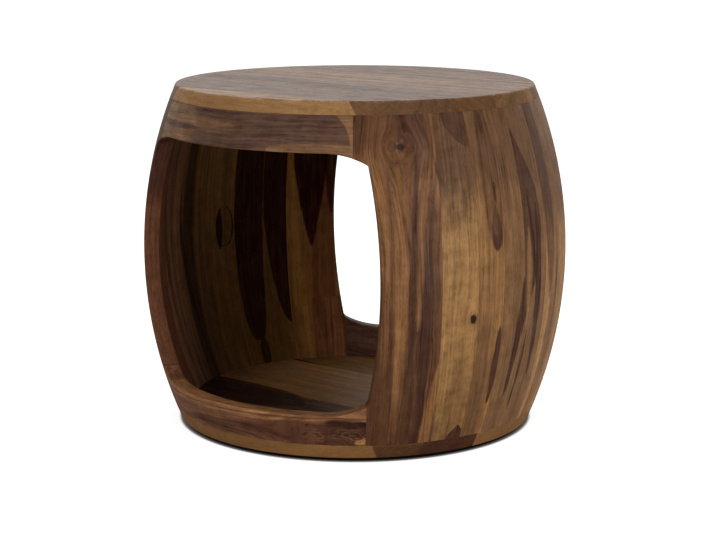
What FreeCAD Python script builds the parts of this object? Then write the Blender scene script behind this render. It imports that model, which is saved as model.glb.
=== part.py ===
import FreeCAD, Part
import math
import os

# Round barrel side table. A wall of edge-glued staves stands between a plank base and a plank
# top, and two opposite openings, each closed by a sill and a lintel, run right through it.
# The origin is on the floor at the barrel's centre, +Z is up and the front opening faces -Y.
# Angles round the barrel are in degrees from the front, growing towards +X. Sizes are in mm.

# Barrel
HEIGHT = 470.0
BELLY_DIAMETER = 587.0
BULGE = 47.5
WALL_AT_BELLY = 21.0
WALL_AT_ENDS = 27.0
TOP_THICKNESS = 17.0
BASE_THICKNESS = 19.0
RIM_EASE = 1.5

# Openings, front and rear: depth of the rails below and above, half angle at the belly, and curves
SILL_DEPTH = 42.5
LINTEL_DEPTH = 47.0
JAMB_ANGLE = 44.5
JAMB_BOW_RADIUS = 590.0
SHOULDER_RUN = 92.0
SHOULDER_RADIUS = 175.0
CORNER_RADIUS = 8.0

# Seams between the boards: staves by angle from the front, inner planks by distance behind the
# axis, and the outermost planks by how far they reach in from the rim
LINTEL_SEAM = 37.3
SILL_SEAM = 40.9
RIGHT_SEAMS = (60.0, 70.5, 79.0, 87.0, 97.5, 108.0, 120.0)
LEFT_SEAMS = (60.0, 73.5, 82.5, 100.5, 111.5, 119.5)
FOOT_SEAM = 127.5
FOOT_HEIGHT = 88.5
TOP_FRONT_PLANK = 47.0
TOP_INNER_SEAMS = (-97.0, -26.0, 58.0)
TOP_REAR_PLANK = 106.0
BASE_FRONT_PLANK = 114.0
BASE_INNER_SEAMS = (-55.0, 28.0, 105.0)
BASE_REAR_PLANK = 66.0

# Dowels that peg the wall to the top and base, and the lintels and sills to the staves
DOWEL_DIAMETER = 8.0
DOWEL_FIT = 0.1
DOWEL_END_GAP = 1.0
TOP_BITE = 10.0
BASE_BITE = 11.0
STAVE_BITE = 16.0
SEAM_BITE = 18.0
SEAM_DOWEL_SPACING = 20.0
RAIL_DOWEL_ANGLE = 18.0

# Nail-on glides under the base
GLIDE_HEIGHT = 5.0
GLIDE_DIAMETER = 24.0
GLIDE_EASE = 1.0
GLIDE_INSET = 41.0
GLIDE_COUNT = 4
NAIL_DIAMETER = 2.2
NAIL_BITE = 14.0
NAIL_TIP_GAP = 0.5
NAIL_HEAD_DIAMETER = 8.0
NAIL_HEAD_THICKNESS = 1.2
NAIL_RECESS = 1.5
NAIL_FIT = 0.05

# Worked out from the sizes above
BELLY_RADIUS = BELLY_DIAMETER / 2
END_RADIUS = BELLY_RADIUS - BULGE
INNER_BELLY_RADIUS = BELLY_RADIUS - WALL_AT_BELLY
INNER_END_RADIUS = END_RADIUS - WALL_AT_ENDS
BARREL_BOTTOM = GLIDE_HEIGHT
WALL_BOTTOM = BARREL_BOTTOM + BASE_THICKNESS
WALL_TOP = HEIGHT - TOP_THICKNESS
SILL_TOP = WALL_BOTTOM + SILL_DEPTH
LINTEL_BOTTOM = WALL_TOP - LINTEL_DEPTH
FOOT_TOP = WALL_BOTTOM + FOOT_HEIGHT
BELLY_HEIGHT = (BARREL_BOTTOM + HEIGHT) / 2
OPENING_MIDDLE = (SILL_TOP + LINTEL_BOTTOM) / 2
TOP_SEAMS = (TOP_FRONT_PLANK - END_RADIUS,) + TOP_INNER_SEAMS + (END_RADIUS - TOP_REAR_PLANK,)
BASE_SEAMS = (BASE_FRONT_PLANK - END_RADIUS,) + BASE_INNER_SEAMS + (END_RADIUS - BASE_REAR_PLANK,)
GLIDE_CIRCLE_RADIUS = END_RADIUS - GLIDE_INSET
HALF_TURN = 180.0
CENTRE = FreeCAD.Vector(0, 0, 0)
UP = FreeCAD.Vector(0, 0, 1)


def around(radius, angle, height):
    """Point at a radius and a height, at an angle from the front."""
    turn = math.radians(angle)
    return FreeCAD.Vector(radius * math.sin(turn), -radius * math.cos(turn), height)


def barrel_radius(height, belly, end):
    """Radius at a height on the upright arc that passes through the belly and both ends."""
    half_height = (HEIGHT - BARREL_BOTTOM) / 2
    bulge = belly - end
    arc = (half_height ** 2 + bulge ** 2) / (2 * bulge)
    return belly - arc + math.sqrt(arc ** 2 - (height - BELLY_HEIGHT) ** 2)


def outer_radius(height):
    return barrel_radius(height, BELLY_RADIUS, END_RADIUS)


def inner_radius(height):
    return barrel_radius(height, INNER_BELLY_RADIUS, INNER_END_RADIUS)


def mid_wall_radius(height):
    return (outer_radius(height) + inner_radius(height)) / 2


def upright_arc(radius_at, low, high):
    """Arc of the barrel's profile on the +X side, from one height to another."""
    heights = (low, (low + high) / 2, high)
    points = [FreeCAD.Vector(radius_at(z), 0, z) for z in heights]
    return Part.Arc(*points).toShape()


def turned(face, start, end):
    """Solid that a profile face on the +X side sweeps round the axis between two angles."""
    face.rotate(CENTRE, UP, start - HALF_TURN / 2)
    return face.revolve(CENTRE, UP, end - start)


def closed_face(*edges):
    return Part.Face(Part.Wire(Part.sortEdges(list(edges))[0]))


def line(start, end):
    return Part.LineSegment(start, end).toShape()


def wall_sector(start, end, low, high):
    """Piece of the curved wall between two radial seams and two heights."""
    outer = upright_arc(outer_radius, low, high)
    inner = upright_arc(inner_radius, low, high)
    bottom = line(inner.Vertexes[0].Point, outer.Vertexes[0].Point)
    top = line(inner.Vertexes[1].Point, outer.Vertexes[1].Point)
    return turned(closed_face(bottom, outer, top, inner), start, end)


def below_opening():
    """Room that the front sill takes up to the opening's middle, as a wedge round the axis."""
    near = INNER_END_RADIUS / 2
    far = BELLY_DIAMETER
    corners = ((near, BARREL_BOTTOM), (far, BARREL_BOTTOM), (far, OPENING_MIDDLE), (near, OPENING_MIDDLE))
    points = [FreeCAD.Vector(x, 0, z) for x, z in corners]
    face = Part.Face(Part.makePolygon(points + points[:1]))
    return turned(face, -SILL_SEAM, SILL_SEAM)


def arc_on_plane(depth, x, z, radius, start, end):
    """Arc about a centre on the upright plane at a distance in front of the axis."""
    turns = [math.radians(a) for a in (start, (start + end) / 2, end)]
    points = [FreeCAD.Vector(x + radius * math.cos(t), -depth, z + radius * math.sin(t)) for t in turns]
    return Part.Arc(*points).toShape()


def opening_outline(depth):
    """Outline of the front opening on the plane through its two outer arrises at the belly.

    Each side bows outwards, each shoulder falls away from the flat lintel or sill, and a small
    round, tangent to both, turns the corner.
    """
    half_width = BELLY_RADIUS * math.sin(math.radians(JAMB_ANGLE))
    jamb_x = half_width - JAMB_BOW_RADIUS
    shoulder_x = half_width - SHOULDER_RUN
    shoulder_z = LINTEL_BOTTOM - SHOULDER_RADIUS
    jamb_reach = JAMB_BOW_RADIUS - CORNER_RADIUS
    shoulder_reach = SHOULDER_RADIUS - CORNER_RADIUS
    apart = math.hypot(shoulder_x - jamb_x, shoulder_z - OPENING_MIDDLE)
    along = (jamb_reach ** 2 - shoulder_reach ** 2 + apart ** 2) / (2 * apart)
    lean = math.atan2(shoulder_z - OPENING_MIDDLE, shoulder_x - jamb_x)
    jamb_end = lean + math.acos(along / jamb_reach)
    corner_x = jamb_x + jamb_reach * math.cos(jamb_end)
    corner_z = OPENING_MIDDLE + jamb_reach * math.sin(jamb_end)
    shoulder_end = math.atan2(corner_z - shoulder_z, corner_x - shoulder_x)
    jamb_turn = math.degrees(jamb_end)
    shoulder_turn = math.degrees(shoulder_end)
    upright = HALF_TURN / 2
    mirror = 2 * OPENING_MIDDLE
    right_side = (
        (shoulder_x, shoulder_z, SHOULDER_RADIUS, upright, shoulder_turn),
        (corner_x, corner_z, CORNER_RADIUS, shoulder_turn, jamb_turn),
        (jamb_x, OPENING_MIDDLE, JAMB_BOW_RADIUS, jamb_turn, -jamb_turn),
        (corner_x, mirror - corner_z, CORNER_RADIUS, -jamb_turn, -shoulder_turn),
        (shoulder_x, mirror - shoulder_z, SHOULDER_RADIUS, -shoulder_turn, -upright),
    )
    edges = []
    for x, z, radius, start, end in right_side:
        edges.append(arc_on_plane(depth, x, z, radius, start, end))
        edges.append(arc_on_plane(depth, -x, z, radius, HALF_TURN - start, HALF_TURN - end))
    for z in (LINTEL_BOTTOM, SILL_TOP):
        left = FreeCAD.Vector(-shoulder_x, -depth, z)
        right = FreeCAD.Vector(shoulder_x, -depth, z)
        edges.append(line(left, right))
    return Part.Wire(Part.sortEdges(edges)[0])


def opening_cutter():
    """Tool for the front opening, whose jambs point at the axis: its widths grow with distance."""
    depth = BELLY_RADIUS * math.cos(math.radians(JAMB_ANGLE))
    outline = opening_outline(depth)
    rings = []
    for distance in (INNER_END_RADIUS / 2, BELLY_DIAMETER):
        widen = FreeCAD.Matrix()
        widen.scale(distance / depth, distance / depth, 1)
        rings.append(outline.transformGeometry(widen))
    return Part.makeLoft(rings, True, True)


def peg(centre, direction, back, ahead, radius):
    """Round peg or bore along a direction, from a length behind a point to a length ahead."""
    return Part.makeCylinder(radius, back + ahead, centre - direction * back, direction)


def dowel_and_bore(seat, direction, back, ahead):
    """A dowel across a joint, and the bore that holds it with a sliding fit."""
    radius = DOWEL_DIAMETER / 2
    dowel = peg(seat, direction, back, ahead, radius)
    bore = peg(seat, direction, back + DOWEL_END_GAP, ahead + DOWEL_END_GAP, radius + DOWEL_FIT)
    return dowel, bore


def stave_bounds(seams):
    """Start and end angles of the staves of one wall, from the front lintel to the rear one."""
    edges = (LINTEL_SEAM,) + seams + (HALF_TURN - LINTEL_SEAM,)
    return list(zip(edges[:-1], edges[1:]))


def middles(bounds):
    return [(start + end) / 2 for start, end in bounds]


def rail_dowel_angles():
    """Where each lintel and sill is pegged to the top and base."""
    angles = []
    for face_angle in (0.0, HALF_TURN):
        angles += [face_angle - RAIL_DOWEL_ANGLE, face_angle + RAIL_DOWEL_ANGLE]
    return angles


def end_dowels(angles, joint, into_wall, into_plank, way):
    """Upright dowels where the wall meets the top or the base."""
    radius = mid_wall_radius(joint - way * into_wall / 2)
    pairs = []
    for angle in angles:
        seat = around(radius, angle, joint)
        pairs.append(dowel_and_bore(seat, UP * way, into_wall, into_plank))
    return pairs


def seam_dowels(seam, middle):
    """Level dowels across the four end seams of the front and rear lintels or sills."""
    pairs = []
    for angle in (seam, -seam, HALF_TURN - seam, HALF_TURN + seam):
        for offset in (-SEAM_DOWEL_SPACING / 2, SEAM_DOWEL_SPACING / 2):
            height = middle + offset
            seat = around(mid_wall_radius(height), angle, height)
            tangent = around(1.0, angle + HALF_TURN / 2, 0.0)
            pairs.append(dowel_and_bore(seat, tangent, SEAM_BITE, SEAM_BITE))
    return pairs


def split(pairs):
    return [pair[0] for pair in pairs], [pair[1] for pair in pairs]


def bored(shape, bores):
    """Shape with every bore that reaches it cut away."""
    near = [bore for bore in bores if shape.BoundBox.intersect(bore.BoundBox)]
    if near:
        shape = shape.cut(near)
    return shape


def disc(low, high):
    """Full round of the barrel between two heights, with the barrel's curve as its rim."""
    rim = upright_arc(outer_radius, low, high)
    bottom = line(FreeCAD.Vector(0, 0, low), rim.Vertexes[0].Point)
    top = line(FreeCAD.Vector(0, 0, high), rim.Vertexes[1].Point)
    axis = line(FreeCAD.Vector(0, 0, low), FreeCAD.Vector(0, 0, high))
    return turned(closed_face(bottom, rim, top, axis), 0.0, 2 * HALF_TURN)


def eased_top():
    """Round top with its upper edge eased."""
    top = disc(WALL_TOP, HEIGHT)
    upper = [e for e in top.Edges if e.BoundBox.ZMin > (WALL_TOP + HEIGHT) / 2 and len(e.Vertexes) == 1]
    return top.makeFillet(RIM_EASE, upper)


def planks(board, seams):
    """Planks of a round, cut along X at the seams, from the front to the rear."""
    edges = (-BELLY_RADIUS,) + seams + (BELLY_RADIUS,)
    pieces = []
    for front, rear in zip(edges[:-1], edges[1:]):
        corner = FreeCAD.Vector(-BELLY_RADIUS, front, 0)
        strip = Part.makeBox(BELLY_DIAMETER, rear - front, HEIGHT, corner)
        pieces.append(board.common(strip))
    return pieces


def glide_seats():
    """Centres of the glides' undersides, one to each corner between the openings and the sides."""
    step = 2 * HALF_TURN / GLIDE_COUNT
    return [around(GLIDE_CIRCLE_RADIUS, step * (i + 0.5), 0.0) for i in range(GLIDE_COUNT)]


def glide(seat):
    """Round glide with an eased foot and a countersunk hole for its nail."""
    body = Part.makeCylinder(GLIDE_DIAMETER / 2, GLIDE_HEIGHT, seat)
    foot = [e for e in body.Edges if e.BoundBox.ZMax < GLIDE_HEIGHT / 2]
    body = body.makeFillet(GLIDE_EASE, foot)
    head_room = NAIL_RECESS + NAIL_HEAD_THICKNESS
    sink = Part.makeCylinder(NAIL_HEAD_DIAMETER / 2 + NAIL_FIT, head_room, seat)
    return body.cut([sink, peg(seat, UP, 0.0, GLIDE_HEIGHT, NAIL_DIAMETER / 2 + NAIL_FIT)])


def glide_nail(seat):
    """Nail with a flat head, driven up through a glide into the base."""
    head_seat = seat + UP * NAIL_RECESS
    shank_end = BARREL_BOTTOM + NAIL_BITE - NAIL_RECESS
    head = Part.makeCylinder(NAIL_HEAD_DIAMETER / 2, NAIL_HEAD_THICKNESS, head_seat)
    shank = Part.makeCylinder(NAIL_DIAMETER / 2, shank_end, head_seat)
    return head.fuse(shank).removeSplitter()


def nail_bore(seat):
    reach = BARREL_BOTTOM + NAIL_BITE + NAIL_TIP_GAP
    return peg(seat, UP, 0.0, reach, NAIL_DIAMETER / 2 + NAIL_FIT)


def half_turned(shape):
    copy = shape.copy()
    copy.rotate(CENTRE, UP, HALF_TURN)
    return copy


def wall_staves(side, seams, bores):
    """Staves of one wall, front to rear: side is 1 for the right wall and -1 for the left."""
    openings = [opening_cutter(), below_opening()]
    openings += [half_turned(tool) for tool in openings]
    bounds = stave_bounds(seams)
    staves = []
    for start, end in bounds:
        low, high = sorted((side * start, side * end))
        stave = wall_sector(low, high, WALL_BOTTOM, WALL_TOP)
        if start == LINTEL_SEAM or end == HALF_TURN - LINTEL_SEAM:
            stave = stave.cut(openings)
        staves.append(bored(stave, bores))
    return staves


def rail(low, high, seam, bores):
    """Front lintel or sill between its end seams, shaped by the opening."""
    blank = wall_sector(-seam, seam, low, high).cut(opening_cutter())
    return bored(blank, bores)


def save(name, shapes):
    """Write the solids of one node."""
    solids = [solid for shape in shapes for solid in shape.Solids]
    Part.makeCompound(solids).exportStep(os.path.join("parts", name + ".step"))


def main():
    os.makedirs("parts", exist_ok=True)

    right_middles = middles(stave_bounds(RIGHT_SEAMS))
    left_middles = middles(stave_bounds(LEFT_SEAMS))
    foot_bounds = (FOOT_SEAM, HALF_TURN - SILL_SEAM)
    left_base_middles = left_middles[:-1] + middles([(LEFT_SEAMS[-1], FOOT_SEAM), foot_bounds])
    top_angles = right_middles + [-a for a in left_middles] + rail_dowel_angles()
    base_angles = right_middles + [-a for a in left_base_middles] + rail_dowel_angles()
    top_dowels, top_bores = split(end_dowels(top_angles, WALL_TOP, STAVE_BITE, TOP_BITE, 1))
    base_dowels, base_bores = split(end_dowels(base_angles, WALL_BOTTOM, STAVE_BITE, BASE_BITE, -1))
    lintel_dowels, lintel_bores = split(seam_dowels(LINTEL_SEAM, (LINTEL_BOTTOM + WALL_TOP) / 2))
    sill_dowels, sill_bores = split(seam_dowels(SILL_SEAM, (WALL_BOTTOM + SILL_TOP) / 2))
    wall_bores = top_bores + base_bores + lintel_bores + sill_bores

    right_staves = wall_staves(1, RIGHT_SEAMS, wall_bores)
    left_staves = wall_staves(-1, LEFT_SEAMS, wall_bores)
    foot_room = wall_sector(-foot_bounds[1], -foot_bounds[0], WALL_BOTTOM, FOOT_TOP)
    foot = left_staves[-1].common(foot_room)
    left_staves[-1] = left_staves[-1].cut(foot_room)

    front_lintel = rail(OPENING_MIDDLE, WALL_TOP, LINTEL_SEAM, top_bores + lintel_bores)
    rear_lintel = half_turned(front_lintel)
    front_sill = rail(WALL_BOTTOM, OPENING_MIDDLE, SILL_SEAM, base_bores + sill_bores)
    rear_sill = half_turned(front_sill)

    seats = glide_seats()
    top = bored(eased_top(), top_bores)
    base = bored(disc(BARREL_BOTTOM, WALL_BOTTOM), base_bores + [nail_bore(seat) for seat in seats])

    rows = {
        "top_plank": planks(top, TOP_SEAMS),
        "base_plank": planks(base, BASE_SEAMS),
        "right_stave": right_staves,
        "left_stave": left_staves,
    }
    for name, pieces in rows.items():
        for number, piece in enumerate(pieces, start=1):
            save(f"{name}_{number}", [piece])
    save("left_stave_foot", [foot])
    save("front_lintel", [front_lintel])
    save("rear_lintel", [rear_lintel])
    save("front_sill", [front_sill])
    save("rear_sill", [rear_sill])
    save("top_dowels", top_dowels)
    save("base_dowels", base_dowels)
    save("lintel_dowels", lintel_dowels)
    save("sill_dowels", sill_dowels)
    save("floor_glides", [glide(seat) for seat in seats])
    save("glide_nails", [glide_nail(seat) for seat in seats])


main()
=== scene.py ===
"""Dresses the round barrel side table.

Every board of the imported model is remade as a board: an outline drawn flat, given its thickness,
eased along its edges and bent round the barrel. Lengths are in millimetres and angles in degrees
until a finished mesh goes into the scene, which is in metres.
"""
import logging
import math
from collections.abc import Sequence
from dataclasses import dataclass, field, replace
from enum import Enum

import bmesh
import bpy
from mathutils import Matrix, Vector


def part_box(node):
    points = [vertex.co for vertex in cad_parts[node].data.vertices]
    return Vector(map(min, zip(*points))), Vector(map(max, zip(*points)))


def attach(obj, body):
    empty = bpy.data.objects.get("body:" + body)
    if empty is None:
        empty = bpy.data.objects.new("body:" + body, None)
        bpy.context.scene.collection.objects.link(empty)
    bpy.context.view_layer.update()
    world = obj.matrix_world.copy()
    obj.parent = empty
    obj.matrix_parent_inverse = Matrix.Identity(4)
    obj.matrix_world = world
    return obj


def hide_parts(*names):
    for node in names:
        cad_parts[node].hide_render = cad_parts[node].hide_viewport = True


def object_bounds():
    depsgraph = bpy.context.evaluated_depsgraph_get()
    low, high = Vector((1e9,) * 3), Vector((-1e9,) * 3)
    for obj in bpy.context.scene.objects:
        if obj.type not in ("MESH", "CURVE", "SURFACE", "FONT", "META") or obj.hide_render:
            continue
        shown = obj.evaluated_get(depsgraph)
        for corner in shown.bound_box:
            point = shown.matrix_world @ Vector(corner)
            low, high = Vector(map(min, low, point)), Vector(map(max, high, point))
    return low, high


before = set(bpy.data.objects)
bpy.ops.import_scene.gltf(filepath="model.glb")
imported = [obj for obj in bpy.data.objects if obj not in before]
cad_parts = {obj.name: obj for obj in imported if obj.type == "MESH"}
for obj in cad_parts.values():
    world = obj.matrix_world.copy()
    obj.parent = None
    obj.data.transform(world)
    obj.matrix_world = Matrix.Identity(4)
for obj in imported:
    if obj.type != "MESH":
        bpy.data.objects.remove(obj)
CAD_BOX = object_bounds()

MM = 0.001
GRAIN = "grain"
BODY = "root"
HALF_TURN = 180.0
# Seams of the rounds, as distances behind the axis
TOP_SEAMS = (-199.0, -97.0, -26.0, 58.0, 140.0)
BASE_SEAMS = (-132.0, -55.0, 28.0, 105.0, 180.0)
# Rounded edges, and the angles that make an edge square or sharp
ARRIS_SEGMENTS = 4
RIM_SEGMENTS = 3
SEAM_SEGMENTS = 2
SQUARE_FROM = 60.0
SHARP_FROM = 40.0
# Lengths below which points are one
SLICE_SNAP = 0.02
SAW_SNAP = 0.001
LEVEL_SNAP = 1e-6
WELD = 0.002 * MM
# Sockets of a Mix node that mixes colours
MIX_INPUTS = (0, 6, 7)
MIX_RESULT = 2

Colour = tuple[float, float, float]
Mesh = bmesh.types.BMesh
Socket = bpy.types.NodeSocket
Value = float | Socket
log = logging.getLogger("barrel_table")


def tint(red: int, green: int, blue: int) -> Colour:
    """Linear colour of a tint given as it looks on a screen, 0 to 255.

    Args:
        red: Red share.
        green: Green share.
        blue: Blue share.

    Returns:
        The same colour as the shaders take it.
    """
    def linear(part: int) -> float:
        """Linear value of one screen value, by the usual curve of screens."""
        share = part / 255
        return share / 12.92 if share <= 0.04045 else ((share + 0.055) / 1.055) ** 2.4

    return linear(red), linear(green), linear(blue)


def only(kind: type, made: Sequence[bmesh.types.BMVert | bmesh.types.BMEdge]) -> list:
    """The points or the edges among what an operator made."""
    return [item for item in made if isinstance(item, kind)]


class Along(Enum):
    """Which way a board's grain runs."""

    UPRIGHT = "upright"
    ROUND = "round"


class Tone(Enum):
    """Which of a timber's colours a figure in it takes."""

    HEART = "heart"
    BROWN = "brown"
    PALE = "pale"


@dataclass(frozen=True)
class Barrel:
    """The barrel that all boards follow: an outer and an inner arc turned about the upright axis."""

    bottom: float
    top: float
    belly: float
    bulge: float = 47.5
    wall_at_belly: float = 21.0
    wall_at_ends: float = 27.0

    def arc(self, height: float, belly: float, end: float) -> float:
        """Radius at a height on the arc through the belly and both ends.

        Args:
            height: Height above the floor.
            belly: Radius halfway up.
            end: Radius at the top and the bottom.

        Returns:
            The radius at that height.
        """
        half = (self.top - self.bottom) / 2
        bulge = belly - end
        sweep = (half ** 2 + bulge ** 2) / (2 * bulge)
        rise = height - (self.top + self.bottom) / 2
        return belly - sweep + math.sqrt(sweep ** 2 - rise ** 2)

    def outer(self, height: float) -> float:
        """Outer radius at a height."""
        return self.arc(height, self.belly, self.belly - self.bulge)

    def inner(self, height: float) -> float:
        """Inner radius of the wall at a height."""
        return self.arc(height, self.belly - self.wall_at_belly, self.belly - self.bulge - self.wall_at_ends)

    def place(self, angle: float, height: float, share: float) -> Vector:
        """Point in the wall, in the scene's metres.

        Args:
            angle: Angle from the front, growing towards +X.
            height: Height above the floor.
            share: 0 on the outer face of the wall, 1 on the inner one.

        Returns:
            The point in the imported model's frame.
        """
        outer = self.outer(height)
        radius = outer + (self.inner(height) - outer) * share
        turn = math.radians(angle)
        return Vector((radius * math.sin(turn), -radius * math.cos(turn), height)) * MM


class Pencil:
    """Draws a closed outline on the upright plane Y = 0, by lines and arcs."""

    def __init__(self, x: float, z: float) -> None:
        """Sets the pencil down at the outline's first corner."""
        self.mesh = bmesh.new()
        self.first = self.mesh.verts.new((x, 0.0, z))
        self.tip = self.first

    def line(self, x: float, z: float, free: bool = False) -> None:
        """Draws a line to a corner.

        Args:
            x: Distance to the right.
            z: Height.
            free: True where the line is an edge of the opening, which has a soft arris.
        """
        made = bmesh.ops.extrude_vert_indiv(self.mesh, verts=[self.tip])
        self.tip = made["verts"][0]
        self.tip.co = (x, 0.0, z)
        made["edges"][0].seam = free

    def arc(self, x: float, z: float, sweep: float, step: float) -> None:
        """Draws an arc of the opening from the tip, clockwise for a positive sweep.

        Args:
            x: Distance of the centre to the right.
            z: Height of the centre.
            sweep: Angle that the arc turns through.
            step: Greatest length of one edge along it.
        """
        reach = math.hypot(self.tip.co.x - x, self.tip.co.z - z)
        turn = math.radians(sweep)
        count = max(2, math.ceil(abs(turn) * reach / step))
        before = set(self.mesh.edges)
        made = bmesh.ops.spin(
            self.mesh, geom=[self.tip], cent=(x, 0.0, z), axis=(0.0, 1.0, 0.0), dvec=(0.0, 0.0, 0.0),
            angle=turn, steps=count, use_duplicate=False,
        )
        self.tip = only(bmesh.types.BMVert, made["geom_last"])[0]
        for edge in set(self.mesh.edges) - before:
            edge.seam = True

    def closed(self) -> Mesh:
        """Closes the outline and returns its mesh with one face."""
        bmesh.ops.contextual_create(self.mesh, geom=[self.first, self.tip])
        bmesh.ops.contextual_create(self.mesh, geom=list(self.mesh.edges))
        return self.mesh


@dataclass(frozen=True)
class Opening:
    """The opening through the wall, drawn on the plane through its outer arrises at the belly."""

    belly: float
    sill_top: float = 66.5
    lintel_bottom: float = 406.0
    half_angle: float = 44.5
    jamb_bow: float = 590.0
    shoulder_run: float = 92.0
    shoulder_radius: float = 175.0
    corner_radius: float = 8.0
    step: float = 4.0

    @property
    def corner_step(self) -> float:
        """Greatest length of one edge along a corner."""
        return self.corner_radius / 4

    @property
    def depth(self) -> float:
        """Distance of the drawing plane in front of the axis."""
        return self.belly * math.cos(math.radians(self.half_angle))

    @property
    def middle(self) -> float:
        """Height halfway up the opening."""
        return (self.sill_top + self.lintel_bottom) / 2

    @property
    def jamb_x(self) -> float:
        """Centre of the right jamb's bow."""
        return self.belly * math.sin(math.radians(self.half_angle)) - self.jamb_bow

    @property
    def shoulder_x(self) -> float:
        """Centre of the right shoulders, which is where the flat of the lintel ends."""
        return self.belly * math.sin(math.radians(self.half_angle)) - self.shoulder_run

    @property
    def shoulder_z(self) -> float:
        """Height of the upper shoulders' centre."""
        return self.lintel_bottom - self.shoulder_radius

    def corner(self) -> tuple[float, float, float, float]:
        """The upper right corner's small round, tangent to the shoulder and the jamb.

        Returns:
            Its centre across and up, and the angles at which the jamb and the shoulder meet it.
        """
        jamb_reach = self.jamb_bow - self.corner_radius
        shoulder_reach = self.shoulder_radius - self.corner_radius
        run = self.shoulder_x - self.jamb_x
        rise = self.shoulder_z - self.middle
        apart = math.hypot(run, rise)
        along = (jamb_reach ** 2 - shoulder_reach ** 2 + apart ** 2) / (2 * apart)
        jamb_end = math.atan2(rise, run) + math.acos(along / jamb_reach)
        x = self.jamb_x + jamb_reach * math.cos(jamb_end)
        z = self.middle + jamb_reach * math.sin(jamb_end)
        shoulder_end = math.atan2(z - self.shoulder_z, x - self.shoulder_x)
        return x, z, math.degrees(jamb_end), math.degrees(shoulder_end)

    def across(self, angle: float) -> float:
        """Place on the drawing plane of a seam at an angle from the front."""
        return self.depth * math.tan(math.radians(angle))

    def shoulder_turn(self, seam: float) -> float:
        """Angle on the shoulder's arc at which a seam crosses it."""
        return math.degrees(math.acos((self.across(seam) - self.shoulder_x) / self.shoulder_radius))

    def shoulder_height(self, seam: float) -> float:
        """Height at which a seam crosses the upper shoulder."""
        return self.shoulder_z + self.shoulder_radius * math.sin(math.radians(self.shoulder_turn(seam)))

    def jamb_turn_at(self, height: float) -> float:
        """Angle on the jamb's arc at a height."""
        return math.degrees(math.asin((height - self.middle) / self.jamb_bow))

    def draw_upper(self, pencil: Pencil, lintel_seam: float) -> None:
        """Draws the upper shoulder and corner, from the lintel's seam to the jamb's top."""
        x, z, jamb_end, shoulder_end = self.corner()
        sweep = self.shoulder_turn(lintel_seam) - shoulder_end
        pencil.arc(self.shoulder_x, self.shoulder_z, sweep, self.step)
        pencil.arc(x, z, shoulder_end - jamb_end, self.corner_step)

    def draw_jamb(self, pencil: Pencil, start: float, end: float) -> None:
        """Draws the jamb's bow down from one angle to another."""
        pencil.arc(self.jamb_x, self.middle, start - end, self.step)

    def draw_lower(self, pencil: Pencil, sill_seam: float) -> None:
        """Draws the lower corner and shoulder, from the jamb's foot to the sill's seam."""
        x, z, jamb_end, shoulder_end = self.corner()
        mirror = 2 * self.middle
        pencil.arc(x, mirror - z, shoulder_end - jamb_end, self.corner_step)
        sweep = self.shoulder_turn(sill_seam) - shoulder_end
        pencil.arc(self.shoulder_x, mirror - self.shoulder_z, sweep, self.step)

    def unrolled(self, pencil: Pencil) -> Mesh:
        """Closes an outline and turns its places across the drawing plane into lengths round the belly."""
        mesh = pencil.closed()
        for vert in mesh.verts:
            vert.co.x = self.belly * math.atan(vert.co.x / self.depth)
        return mesh


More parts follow.
